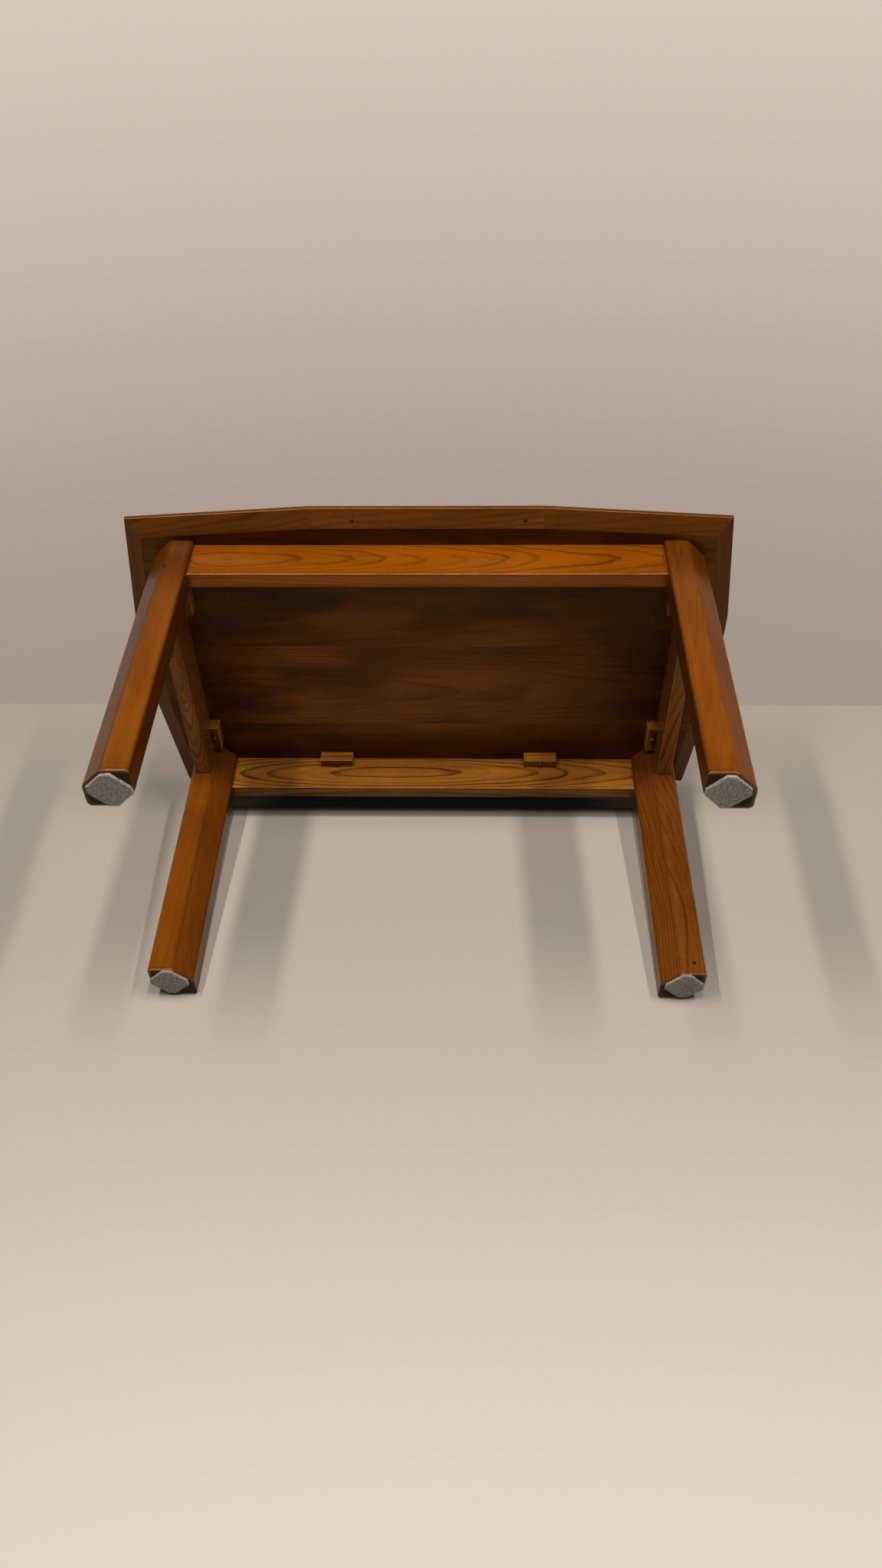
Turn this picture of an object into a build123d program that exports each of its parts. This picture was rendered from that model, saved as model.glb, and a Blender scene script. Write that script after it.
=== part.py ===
"""Low table with a twelve-sided top, chamfered legs, a rail frame, top fixing blocks and felt pads.

Millimetres, +Z up, X along the table's length. The origin is on the floor under the middle of the top.
"""
import os
from math import hypot

from build123d import *

os.makedirs("parts", exist_ok=True)

# ---- driving dimensions -------------------------------------------------------------------------
# tabletop outline: every side bulges outward in three straight runs
top_length = 800.0
top_width = 507.0
long_middle = 296.0
long_bulge = 14.6
short_middle = 165.0
short_bulge = 17.8
corner_radius = 3.0

# heights
pad_thickness = 3.0
underside_height = 406.5
top_thickness = 13.0
edge_thickness = 6.0

# border strips and the boards they frame
long_border = 25.5
short_border = 21.0
board_seams = (-132.0, -36.5, 111.0)

# legs
leg_section = 56.0
leg_outer_x = 353.5
leg_outer_y = 211.0
outer_chamfer = 25.5
inner_chamfer = 24.0
leg_corner_radius = 8.0
leg_arris = 1.2
foot_round = 3.0

# rails, set back a little from the outer faces of the legs
rail_depth = 61.0
rail_thickness = 20.0
rail_setback = 7.0
rail_arris = 1.0
tenon_length = 22.0
tenon_thickness = 10.0
tenon_shoulder = 10.0
mortise_clearance = 0.15

# blocks that screw the rails to the top
block_length_long_rail = 48.0
block_length_short_rail = 44.0
block_thickness = 13.5
block_height = 18.5
block_arris = 0.8
long_rail_block_x = (-145.0, 160.0)
short_rail_block_y = (-126.0, 126.0)

# pan head screws
screw_head_radius = 3.75
screw_head_height = 2.2
screw_shank_radius = 1.75
screw_length = 25.0
screw_hole_radius = 1.85
pilot_clearance = 0.3
screw_from_rail = 5.0
recess_length = 4.2
recess_width = 0.9
recess_depth = 1.2

# felt pads: a square set corner-on with its tips trimmed, each stuck a little off the foot's middle
pad_reach = 24.2
pad_diagonal = 20.5
pad_offsets = {
    "front_left": (2.0, 1.0),
    "front_right": (-2.5, 0.0),
    "back_left": (-3.0, -3.0),
    "back_right": (2.5, -2.0),
}

# ---- derived dimensions -------------------------------------------------------------------------
top_height = underside_height + top_thickness
half_length = top_length / 2
half_width = top_width / 2
bevel_rise = top_thickness - edge_thickness
bevel_overrun = 10.0
leg_inner_x = leg_outer_x - leg_section
leg_inner_y = leg_outer_y - leg_section
leg_axis_x = leg_outer_x - leg_section / 2
leg_axis_y = leg_outer_y - leg_section / 2
long_rail_outer = leg_outer_y - rail_setback
long_rail_inner = long_rail_outer - rail_thickness
short_rail_outer = leg_outer_x - rail_setback
short_rail_inner = short_rail_outer - rail_thickness
rail_bottom = underside_height - rail_depth
block_bottom = underside_height - block_height
tenon_bottom = rail_bottom + tenon_shoulder
tenon_height = rail_depth - 2 * tenon_shoulder


def tabletop_outline():
    """Corner points of the top, counter-clockwise from the right-hand end of the front side."""
    corner_x = half_length - short_bulge
    corner_y = half_width - long_bulge
    half_turn = [
        (corner_x, -corner_y),
        (half_length, -short_middle / 2),
        (half_length, short_middle / 2),
        (corner_x, corner_y),
        (long_middle / 2, half_width),
        (-long_middle / 2, half_width),
    ]
    return half_turn + [(-x, -y) for x, y in half_turn]


def inset_outline(points, insets):
    """Outline whose sides lie parallel to the given sides, each moved inward by its own inset."""
    lines = []
    count = len(points)
    for index in range(count):
        ax, ay = points[index]
        bx, by = points[(index + 1) % count]
        run = hypot(bx - ax, by - ay)
        nx = -(by - ay) / run
        ny = (bx - ax) / run
        lines.append((nx, ny, nx * ax + ny * ay + insets[index]))
    inner = []
    for index in range(count):
        n1x, n1y, d1 = lines[index - 1]
        n2x, n2y, d2 = lines[index]
        det = n1x * n2y - n1y * n2x
        inner.append(((d1 * n2y - d2 * n1y) / det, (n1x * d2 - n2x * d1) / det))
    return inner


def save(builder, name):
    """Label the finished sub-part and write its STEP file."""
    builder.part.label = name
    export_step(builder.part, f"parts/{name}.step")


outline = tabletop_outline()
side_insets = ([short_border] * 3 + [long_border] * 3) * 2
inner_outline = inset_outline(outline, side_insets)

screw_line_x = short_rail_inner - screw_from_rail
screw_line_y = long_rail_inner - screw_from_rail
screw_points = [(x, side * screw_line_y) for side in (-1, 1) for x in long_rail_block_x]
screw_points += [(side * screw_line_x, y) for side in (-1, 1) for y in short_rail_block_y]

# ---- border strips: twelve lippings, mitred at the corners and bevelled towards the thin edge ----
border_names = [
    "border_right_front",
    "border_right_middle",
    "border_right_back",
    "border_back_right",
    "border_back_middle",
    "border_back_left",
    "border_left_back",
    "border_left_middle",
    "border_left_front",
    "border_front_left",
    "border_front_middle",
    "border_front_right",
]
for index, border_name in enumerate(border_names):
    start = outline[index]
    end = outline[(index + 1) % 12]
    inner_start = inner_outline[index]
    inner_end = inner_outline[(index + 1) % 12]
    run = hypot(end[0] - start[0], end[1] - start[1])
    along = ((end[0] - start[0]) / run, (end[1] - start[1]) / run, 0)
    inward = (-along[1], along[0], 0)
    middle = ((start[0] + end[0]) / 2, (start[1] + end[1]) / 2, 0)
    inset = side_insets[index]
    slope = bevel_rise / inset
    with BuildPart() as border_strip:
        with BuildSketch(Plane.XY.offset(underside_height)):
            Polygon(start, end, inner_end, inner_start, align=None)
        extrude(amount=top_thickness)
        with BuildSketch(Plane(origin=middle, x_dir=inward, z_dir=along)):
            with BuildLine():
                Polyline(
                    (-bevel_overrun, underside_height + bevel_rise + bevel_overrun * slope),
                    (inset + bevel_overrun, underside_height - bevel_overrun * slope),
                    (-bevel_overrun, underside_height - bevel_overrun * slope),
                    close=True,
                )
            make_face()
        extrude(amount=run, both=True, mode=Mode.SUBTRACT)
        with BuildSketch(Plane.XY.offset(underside_height)) as rounded_outline:
            Polygon(*outline, align=None)
            fillet(rounded_outline.vertices().sort_by_distance((0, 0))[-4:], radius=corner_radius)
        extrude(amount=top_thickness, mode=Mode.INTERSECT)
    save(border_strip, border_name)

# ---- boards of the top, edge to edge along the table, with pilot holes for the block screws ------
board_edges = (-half_width,) + board_seams + (half_width,)
for index in range(4):
    low = board_edges[index]
    high = board_edges[index + 1]
    with BuildPart() as top_board:
        with BuildSketch(Plane.XY.offset(underside_height)):
            Polygon(*inner_outline, align=None)
        extrude(amount=top_thickness)
        with BuildSketch(Plane.XY.offset(underside_height)):
            with Locations((0, (low + high) / 2)):
                Rectangle(top_length, high - low)
        extrude(amount=top_thickness, mode=Mode.INTERSECT)
        pilot_points = [p for p in screw_points if low < p[1] < high]
        if pilot_points:
            with BuildSketch(Plane.XY.offset(underside_height)):
                with Locations(*pilot_points):
                    Circle(screw_hole_radius)
            extrude(amount=screw_length - block_height + pilot_clearance, mode=Mode.SUBTRACT)
    save(top_board, f"top_board_{index + 1}")

# ---- legs: square posts with the outer and inner corners cut back, mortised for the rails --------
leg_places = {"front_left": (-1, -1), "front_right": (1, -1), "back_left": (-1, 1), "back_right": (1, 1)}
for place, (sx, sy) in leg_places.items():
    leg_centre = (sx * leg_axis_x, sy * leg_axis_y)
    post_outline = [
        (sx * (leg_outer_x - outer_chamfer), sy * leg_outer_y),
        (sx * leg_inner_x, sy * leg_outer_y),
        (sx * leg_inner_x, sy * (leg_inner_y + inner_chamfer)),
        (sx * (leg_inner_x + inner_chamfer), sy * leg_inner_y),
        (sx * leg_outer_x, sy * leg_inner_y),
        (sx * leg_outer_x, sy * (leg_outer_y - outer_chamfer)),
    ]
    with BuildPart() as leg:
        with BuildSketch(Plane.XY.offset(pad_thickness)) as post:
            Polygon(*post_outline, align=None)
            fillet(post.vertices().sort_by_distance(leg_centre)[-2:], radius=leg_corner_radius)
            fillet(post.vertices().sort_by_distance(leg_centre)[:4], radius=leg_arris)
        extrude(amount=underside_height - pad_thickness)
        fillet(leg.edges().group_by(Axis.Z)[0], radius=foot_round)
        with BuildSketch(Plane.XY.offset(tenon_bottom - mortise_clearance)):
            with Locations((sx * leg_inner_x, sy * (long_rail_inner + rail_thickness / 2))):
                Rectangle(2 * (tenon_length + mortise_clearance), tenon_thickness + 2 * mortise_clearance)
            with Locations((sx * (short_rail_inner + rail_thickness / 2), sy * leg_inner_y)):
                Rectangle(tenon_thickness + 2 * mortise_clearance, 2 * (tenon_length + mortise_clearance))
        extrude(amount=tenon_height + 2 * mortise_clearance, mode=Mode.SUBTRACT)
    save(leg, f"leg_{place}")

# ---- long rails, with a tenon at each end ---------------------------------------------------------
for place, side in {"front": -1, "back": 1}.items():
    rail_centre = side * (long_rail_inner + rail_thickness / 2)
    with BuildPart() as long_rail:
        with BuildSketch(Plane.XY.offset(rail_bottom)):
            with Locations((0, rail_centre)):
                Rectangle(2 * leg_inner_x, rail_thickness)
        extrude(amount=rail_depth)
        chamfer(long_rail.edges().filter_by(Axis.X).group_by(Axis.Z)[0], length=rail_arris)
        with BuildSketch(Plane.XY.offset(tenon_bottom)):
            with Locations((0, rail_centre)):
                Rectangle(2 * (leg_inner_x + tenon_length), tenon_thickness)
        extrude(amount=tenon_height)
    save(long_rail, f"long_rail_{place}")

# ---- short rails, with a tenon at each end --------------------------------------------------------
for place, side in {"left": -1, "right": 1}.items():
    rail_centre = side * (short_rail_inner + rail_thickness / 2)
    with BuildPart() as short_rail:
        with BuildSketch(Plane.XY.offset(rail_bottom)):
            with Locations((rail_centre, 0)):
                Rectangle(rail_thickness, 2 * leg_inner_y)
        extrude(amount=rail_depth)
        chamfer(short_rail.edges().filter_by(Axis.Y).group_by(Axis.Z)[0], length=rail_arris)
        with BuildSketch(Plane.XY.offset(tenon_bottom)):
            with Locations((rail_centre, 0)):
                Rectangle(tenon_thickness, 2 * (leg_inner_y + tenon_length))
        extrude(amount=tenon_height)
    save(short_rail, f"short_rail_{place}")

# ---- fixing blocks in the angle between rail and top, each bored for one screw --------------------
block_places = {}
for place, side in {"front": -1, "back": 1}.items():
    for hand, x in zip(("left", "right"), long_rail_block_x):
        centre = (x, side * (long_rail_inner - block_thickness / 2))
        bore = (x, side * (long_rail_inner - screw_from_rail))
        block_places[f"block_{place}_rail_{hand}"] = (centre, bore, block_length_long_rail, block_thickness)
for place, side in {"left": -1, "right": 1}.items():
    for hand, y in zip(("front", "back"), short_rail_block_y):
        centre = (side * (short_rail_inner - block_thickness / 2), y)
        bore = (side * (short_rail_inner - screw_from_rail), y)
        block_places[f"block_{place}_rail_{hand}"] = (centre, bore, block_thickness, block_length_short_rail)
for block_name, (centre, bore, size_x, size_y) in block_places.items():
    with BuildPart() as block:
        with BuildSketch(Plane.XY.offset(block_bottom)):
            with Locations(centre):
                Rectangle(size_x, size_y)
        extrude(amount=block_height)
        chamfer(block.edges().group_by(Axis.Z)[0], length=block_arris)
        with BuildSketch(Plane.XY.offset(block_bottom)):
            with Locations(bore):
                Circle(screw_hole_radius)
        extrude(amount=block_height, mode=Mode.SUBTRACT)
    save(block, block_name)

# ---- pan head screws, one up through every block into the top -------------------------------------
with BuildPart() as block_screws:
    with BuildSketch(Plane.XY.offset(block_bottom - screw_head_height)):
        with Locations(*screw_points):
            Circle(screw_head_radius)
    extrude(amount=screw_head_height)
    fillet(block_screws.edges().group_by(Axis.Z)[0], radius=screw_head_height * 0.7)
    with BuildSketch(Plane.XY.offset(block_bottom)):
        with Locations(*screw_points):
            Circle(screw_shank_radius)
    extrude(amount=screw_length)
    with BuildSketch(Plane.XY.offset(block_bottom - screw_head_height)):
        with Locations(*screw_points):
            Rectangle(recess_length, recess_width)
            Rectangle(recess_width, recess_length)
    extrude(amount=recess_depth, mode=Mode.SUBTRACT)
save(block_screws, "block_screws")

# ---- felt pads under the feet ----------------------------------------------------------------------
for place, (sx, sy) in leg_places.items():
    offset_x, offset_y = pad_offsets[place]
    pad_centre = (sx * leg_axis_x + offset_x, sy * leg_axis_y + offset_y)
    with BuildPart() as felt_pad:
        with BuildSketch():
            with Locations(pad_centre):
                Rectangle(2 * pad_reach, 2 * pad_reach)
                Rectangle(2 * pad_diagonal, 2 * pad_diagonal, rotation=45, mode=Mode.INTERSECT)
        extrude(amount=pad_thickness)
    save(felt_pad, f"felt_pad_{place}")
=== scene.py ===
"""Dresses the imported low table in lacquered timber, stained boards, steel screws and grey felt.

Metres throughout, in the row frame: +Z up, X along the table, feet on z = 0.
"""

import math
import random

import bmesh
import bpy
from mathutils import Matrix, Vector, noise


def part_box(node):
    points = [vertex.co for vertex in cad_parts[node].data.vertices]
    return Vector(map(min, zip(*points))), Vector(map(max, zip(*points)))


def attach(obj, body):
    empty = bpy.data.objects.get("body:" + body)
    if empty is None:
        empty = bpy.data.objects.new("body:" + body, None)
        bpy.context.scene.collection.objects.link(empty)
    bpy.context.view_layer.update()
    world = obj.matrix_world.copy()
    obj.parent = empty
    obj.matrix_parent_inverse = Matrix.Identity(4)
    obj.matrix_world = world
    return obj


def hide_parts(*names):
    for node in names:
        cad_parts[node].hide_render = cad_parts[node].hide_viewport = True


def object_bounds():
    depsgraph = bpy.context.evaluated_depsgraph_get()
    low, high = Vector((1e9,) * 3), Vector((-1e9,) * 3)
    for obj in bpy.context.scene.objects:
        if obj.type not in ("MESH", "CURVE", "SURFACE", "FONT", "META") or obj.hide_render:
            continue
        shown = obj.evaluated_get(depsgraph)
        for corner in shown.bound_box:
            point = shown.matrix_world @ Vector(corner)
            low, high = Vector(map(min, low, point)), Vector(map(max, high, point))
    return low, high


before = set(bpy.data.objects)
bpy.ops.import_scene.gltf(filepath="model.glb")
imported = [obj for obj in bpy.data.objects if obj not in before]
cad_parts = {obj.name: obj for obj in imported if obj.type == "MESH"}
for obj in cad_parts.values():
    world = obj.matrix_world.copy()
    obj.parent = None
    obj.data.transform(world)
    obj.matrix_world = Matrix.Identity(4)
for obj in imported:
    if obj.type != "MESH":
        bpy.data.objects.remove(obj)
cad_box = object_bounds()

X, Y, Z = Vector((1, 0, 0)), Vector((0, 1, 0)), Vector((0, 0, 1))

# ---- sizes taken from the frame ----
TOP_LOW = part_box("top_board_1")[0].z
TOP_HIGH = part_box("top_board_1")[1].z
HALF_LENGTH = cad_box[1].x
HALF_WIDTH = cad_box[1].y
HALF_GAP_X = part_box("leg_front_right")[0].x    # from the middle to the legs, along the table
HALF_GAP_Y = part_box("leg_back_left")[0].y      # and across it

# ---- sizes of the tabletop ----
LONG_MIDDLE = 0.296        # middle run of each long side
LONG_BULGE = 0.0146        # how far a long side bows outward
SHORT_MIDDLE = 0.165
SHORT_BULGE = 0.0178
LONG_BORDER = 0.0255       # width of the border strips along the long sides
SHORT_BORDER = 0.021
EDGE_THICKNESS = 0.006     # what the bevel leaves of the top's edge
LAP = 0.0002               # how far a border strip reaches into the boards

# ---- sizes of the legs ----
OUTER_CHAMFER = 0.0255
INNER_CHAMFER = 0.024
LEG_CORNER = 0.0055
OUTER_ARC = 0.010          # softens the edges of a leg's outer chamfer
INNER_ARC = 0.003
FOOT_ROUND = 0.0016
HEAD_STAIN_AND_SHADE_START = 0.30    # where up a leg the stain and painted shade under the top begin to get heavier
HEAD_STAIN_AND_SHADE_RUN = 0.05      # and over what height

# ---- eased edges, how they wear and where they carry a painted highlight ----
ARRIS = 0.0011             # radius of an eased edge
BLOCK_ARRIS = 0.0007
FINE_ARRIS = 0.0005
SEAM_ARRIS = 0.00012       # where boards and border strips meet
SHOULDER = 0.0035          # how far edge wear and its painted highlight reach onto a face
BLOCK_SHOULDER = 0.0015
BORDER_SHOULDER = 0.0016
BOARD_SHOULDER = 0.002
SEAM_SHOULDER = 0.001
WIDE_ARC = 0.004           # a corner rounded wider than this shows no wear and no painted highlight
STATION = 0.022            # spacing of the rings along a bar
SLACK = 0.001              # how near a point counts as on a face

# ---- sizes of the screws and pads ----
SCREW_FROM_RAIL = 0.005
PAD_REACH = 0.0242         # half width across a pad's trimmed tips
PAD_DIAGONAL = 0.0205      # half side of its square, which is set corner-on
PAD_CUT = 0.0006           # how far its corners miss their marks
PAD_SPACING = 0.002        # spacing of the points around it
PAD_RIM = [(1.0, 0.0030), (1.0, 0.0012), (0.992, 0.0005), (0.97, 0.0001)]    # share, height
PAD_INNER_SHARES = (0.9, 0.8, 0.68, 0.55, 0.42, 0.28, 0.14)


# ==== node trees ====
class Wire:
    """An output socket of a node tree. Arithmetic on it adds Math nodes to the tree."""

    def __init__(self, tree, socket):
        self.tree = tree
        self.socket = socket

    def math(self, operation, *values, clamp=False):
        settings = {"operation": operation, "use_clamp": clamp}
        return self.tree.add("ShaderNodeMath", settings, dict(enumerate(values)))

    def __add__(self, other):
        return self.math("ADD", self, other)

    def __sub__(self, other):
        return self.math("SUBTRACT", self, other)

    def __rsub__(self, other):
        return self.math("SUBTRACT", other, self)

    def __mul__(self, other):
        return self.math("MULTIPLY", self, other)

    def __truediv__(self, other):
        return self.math("DIVIDE", self, other)

    def __abs__(self):
        return self.math("ABSOLUTE", self)

    __radd__ = __add__
    __rmul__ = __mul__

    def floor(self):
        return self.math("FLOOR", self)

    def root(self):
        return self.math("SQRT", self)

    def held(self):
        """The value kept between 0 and 1."""
        return self.math("ADD", self, 0.0, clamp=True)

    def rise(self, low, high):
        """A smooth step from 0 at low to 1 at high."""
        settings = {"interpolation_type": "SMOOTHSTEP"}
        sockets = {"Value": self, "From Min": low, "From Max": high}
        return self.tree.add("ShaderNodeMapRange", settings, sockets)

    def fall(self, low, high):
        """A smooth step from 1 at low to 0 at high."""
        return 1.0 - self.rise(low, high)


class Tree:
    """Adds nodes to one material, world or geometry group."""

    def __init__(self, node_tree):
        self.node_tree = node_tree
        node_tree.nodes.clear()

    def add(self, kind, settings=None, sockets=None, output=0):
        """A new node. Its settings come first, then its sockets, each by its name or number.

        A socket gets a value or a link, or a list of links where it takes several.
        """
        node = self.node_tree.nodes.new(kind)
        for name, value in (settings or {}).items():
            setattr(node, name, value)
        for name, value in (sockets or {}).items():
            for part in (value if isinstance(value, list) else [value]):
                if isinstance(part, Wire):
                    self.node_tree.links.new(part.socket, node.inputs[name])
                else:
                    node.inputs[name].default_value = part
        if output == "all":
            return [Wire(self, socket) for socket in node.outputs]
        return Wire(self, node.outputs[output]) if node.outputs else None

    def attribute(self, name, output):
        return self.add("ShaderNodeAttribute", {"attribute_name": name}, output=output)

    def place(self):
        """Where a point of the surface lies in the row frame."""
        return self.add("ShaderNodeTexCoord", output="Object")

    def split(self, vector):
        return self.add("ShaderNodeSeparateXYZ", None, {0: vector}, output="all")

    def joined(self, numbers):
        """A vector of the numbers given, each by its axis: 0, 1 or 2."""
        return self.add("ShaderNodeCombineXYZ", None, numbers)

    def vector_math(self, operation, sockets, output=0):
        return self.add("ShaderNodeVectorMath", {"operation": operation}, sockets, output)

    def stretched(self, vector, factors):
        return self.vector_math("MULTIPLY", {0: vector, 1: factors})

    def scaled(self, vector, amount):
        return self.vector_math("SCALE", {0: vector, "Scale": amount})

    def noise(self, vector, scale=1.0, detail=2.0, rough=0.5):
        sockets = {"Vector": vector, "Scale": scale, "Detail": detail, "Roughness": rough}
        return self.add("ShaderNodeTexNoise", None, sockets)

    def chance(self, number):
        """A fixed random value for each whole number."""
        return self.add("ShaderNodeTexWhiteNoise", {"noise_dimensions": "1D"}, {"W": number})

    def mix(self, amount, first, second):
        """A colour that goes from first to second with amount."""
        sockets = {0: amount, 6: first, 7: second}
        return self.add("ShaderNodeMix", {"data_type": "RGBA"}, sockets, 2)

    def bump(self, height, distance):
        sockets = {"Strength": 1.0, "Distance": distance, "Height": height}
        return self.add("ShaderNodeBump", None, sockets)

    def finish(self, sockets):
        """Ends a material in one shader with these sockets."""
        surface = self.add("ShaderNodeBsdfPrincipled", None, sockets)
        self.add("ShaderNodeOutputMaterial", None, {"Surface": surface})


def new_object(name, data):
    """A new object, linked to the scene."""
    item = bpy.data.objects.new(name, data)
    bpy.context.scene.collection.objects.link(item)
    return item


def new_material(name):
    material = bpy.data.materials.new(name)
    material.use_nodes = True
    return material, Tree(material.node_tree)


def rgb(red, green, blue):
    return (red, green, blue, 1.0)


# ==== timber finishes ====
# noise cells to the metre, along, across and deep in the log
DRIFT_CELLS = (4.0, 11.0, 11.0)         # slow wander of the rings
RIPPLE_CELLS = (45.0, 90.0, 90.0)       # their small waves
FIBRE_CELLS = (28.0, 900.0, 900.0)
BAND_CELLS = (4.0, 120.0, 120.0)        # broad streaks
PORE_CELLS = (90.0, 1500.0, 1500.0)
CURL_CELLS = (190.0, 60.0, 60.0)
CLOUD_CELLS = (8.0, 20.0, 20.0)         # uneven take-up of the stain

PITH_LEAN = 0.08           # how fast the pith sinks away along the log
DRIFT = 0.012              # how far the rings wander
RIPPLE = 0.0012
FAINTEST_LINE = 0.25       # a ring's dark line against the strongest one's
LINE_FULL = 0.92           # the share of a ring where its line is darkest
LINE_END = (0.94, 1.0)     # and where it stops
PORE_EDGE = (0.56, 0.7)
BAND_MIDDLE = 0.42
KNOT_EDGE = (0.0012, 0.0035)
DARKENED = (0.12, 0.075, 0.05)            # what the stain and painted shade leave of a colour
TIMBER_RELIEF = 0.00012
LACQUER_GLINT = rgb(1.0, 0.55, 0.2)

# the pale middle of the table's underside, inside stain and painted shade that build up towards the
# rails
RAIL_SHADE_X = (0.13, 0.30)
RAIL_SHADE_FRONT = (-0.14, -0.045)
RAIL_SHADE_BACK = (0.10, 0.17)
PAST_RAILS_X = (0.325, 0.35)


def rail_stain_and_shade_share(tree, place, clouding):
    """How much built-up stain and painted shade darken a place under the top: 0 in the middle, 1
    beside the rails.
    """
    x, y, _ = tree.split(place)
    y = y + 0.02 * clouding
    reach = abs(x + 0.08 * clouding)
    middle = reach.fall(*RAIL_SHADE_X) * y.rise(*RAIL_SHADE_FRONT) * y.fall(*RAIL_SHADE_BACK)
    return (1.0 - middle) * (1.0 - 0.6 * reach.rise(*PAST_RAILS_X))


def timber(name, pale, deep, worn_and_highlit, ring, lines, streak, curl=0.15, cloud=0.3, gloss=0.2,
           shine=0.5, late=0.45, skew=0.027, crook=0.03, rail_stain_and_shade=0.0, knots=()):
    """Lacquered ring-porous timber, cut from a log whose shape each piece's grain attribute gives.

    The attribute holds the place along, across and deep in the log, in metres from its pith. late
    is where in a ring its dark line begins. The pith bends over a length of crook and climbs faster
    on one side by skew. One argument sets how much darker the underside gets towards the rails, by
    built-up stain and painted shade, and each knot is a place in the row frame.
    """
    material, tree = new_material(name)
    grain = tree.attribute("grain", "Vector")
    wear = tree.attribute("wear", "Fac")
    stain = tree.attribute("stain", "Fac")
    place = tree.place()
    along, across, inward = tree.split(grain)

    def figure(cells, detail=2.0, rough=0.5):
        return tree.noise(tree.stretched(grain, cells), detail=detail, rough=rough)

    # growth rings, around a pith that leans and has one crook
    lean = PITH_LEAN * (along * along + crook ** 2).root() - skew * along
    drift = DRIFT * (figure(DRIFT_CELLS) - 0.5)
    ripple = RIPPLE * (figure(RIPPLE_CELLS, detail=1.0) - 0.5)
    depth = inward + lean + drift + ripple
    rings = (across * across + depth * depth).root() / ring
    number = rings.floor()
    phase = rings - number
    strength = FAINTEST_LINE + (1 - FAINTEST_LINE) * tree.chance(number)
    line = phase.rise(late, LINE_FULL) * phase.fall(*LINE_END) * strength

    # fibres, broader streaks and open pores, all drawn out along the grain
    fibre = figure(FIBRE_CELLS, detail=3.0, rough=0.6)
    band = figure(BAND_CELLS, detail=3.0)
    pores = figure(PORE_CELLS, detail=1.0).rise(*PORE_EDGE) * (0.25 + 0.75 * line)
    darkness = lines * line + streak * 1.6 * (band - BAND_MIDDLE)
    darkness = darkness + 0.45 * (fibre - 0.5) + 0.35 * pores
    for knot in knots:
        away = tree.vector_math("DISTANCE", {0: place, 1: knot}, "Value")
        darkness = darkness + 1.3 * (away + 0.002 * (fibre - 0.5)).fall(*KNOT_EDGE)

    # curl that shimmers across the fibres, and stain that has not taken evenly
    shimmer = figure(CURL_CELLS) - 0.5
    clouding = figure(CLOUD_CELLS, detail=3.0).rise(0.3, 0.7) - 0.5
    tone = 1.0 + cloud * clouding + curl * shimmer
    # darker towards the rails under the top: built-up stain and painted shade
    if rail_stain_and_shade:
        tone = tone * (1.0 - rail_stain_and_shade * rail_stain_and_shade_share(tree, place, clouding))
    colour = tree.scaled(tree.mix(darkness.held(), rgb(*pale), rgb(*deep)), tone)

    # darker where the stain attribute says: stain on end grain and in joints; stain with painted
    # shade on undersides, leg heads and inner leg corners; painted shade on the border's side
    # strips and in a thin band beside each arris
    stain_and_shade = (stain + 0.3 * wear.rise(0.0, 0.25) * wear.fall(0.25, 0.45)).held()
    darkened = tree.stretched(colour, DARKENED)
    colour = tree.mix((stain_and_shade * (0.75 + 0.4 * band)).held(), colour, darkened)
    # lacquer rubbed thin on the arrises, lightened as worn lacquer and as a painted highlight
    rub = tree.noise(place, 60.0, detail=4.0, rough=0.65)
    highlit_wear = (wear + 1.1 * (rub - 0.5)).rise(0.45, 1.0) * wear.rise(0.3, 0.7)
    colour = tree.mix(0.75 * highlit_wear, colour, rgb(*worn_and_highlit))

    smudge = tree.noise(place, 18.0, detail=3.0, rough=0.6)
    roughness = gloss + 0.22 * (smudge - 0.45) + 0.12 * (fibre - 0.5) + 0.1 * highlit_wear + 0.2 * stain_and_shade
    tree.finish({
        "Base Color": colour,
        "Roughness": roughness.held(),
        "Normal": tree.bump(fibre * 0.5 - pores * 0.9 - line * 0.25, TIMBER_RELIEF),
        "Specular IOR Level": shine,
        "Specular Tint": LACQUER_GLINT,
    })
    return material


# each finish: pale wood, dark lines and worn arrises with their painted highlight, then its figure
lacquer_orange = timber(
    "rail_lacquer", (0.245, 0.062, 0.0006), (0.065, 0.011, 0.001), (0.54, 0.23, 0.07),
    ring=0.0036, lines=0.65, late=0.62, streak=0.4, shine=0.4, skew=0.02,
    knots=[(-0.262, -0.205, 0.3455)],
)
lacquer_tan = timber(
    "inner_rail_lacquer", (0.375, 0.141, 0.018), (0.06, 0.017, 0.002), (0.50, 0.25, 0.08),
    ring=0.0046, lines=0.82, late=0.5, streak=0.65, skew=0.012, crook=0.1,
)
lacquer_side = timber(
    "side_rail_lacquer", (0.20, 0.066, 0.007), (0.04, 0.012, 0.002), (0.34, 0.15, 0.045),
    ring=0.0020, lines=0.9, late=0.5, streak=0.6,
)
lacquer_leg = timber(
    "leg_lacquer", (0.205, 0.056, 0.004), (0.07, 0.015, 0.001), (0.36, 0.14, 0.035),
    ring=0.0026, lines=0.18, streak=0.45, curl=0.14, gloss=0.14, shine=0.46,
    knots=[(-0.325, -0.2115, 0.352)],
)
lacquer_figured = timber(
    "figured_leg_lacquer", (0.25, 0.073, 0.008), (0.06, 0.014, 0.001), (0.36, 0.14, 0.035),
    ring=0.0036, lines=0.6, streak=0.45, curl=0.3, gloss=0.14,
    knots=[(0.339, 0.1555, 0.02)],
)
foot_end_grain = timber(
    "foot_end_grain", (0.15, 0.098, 0.058), (0.06, 0.036, 0.02), (0.20, 0.13, 0.08),
    ring=0.0026, lines=0.6, streak=0.3, gloss=0.6,
)
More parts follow.
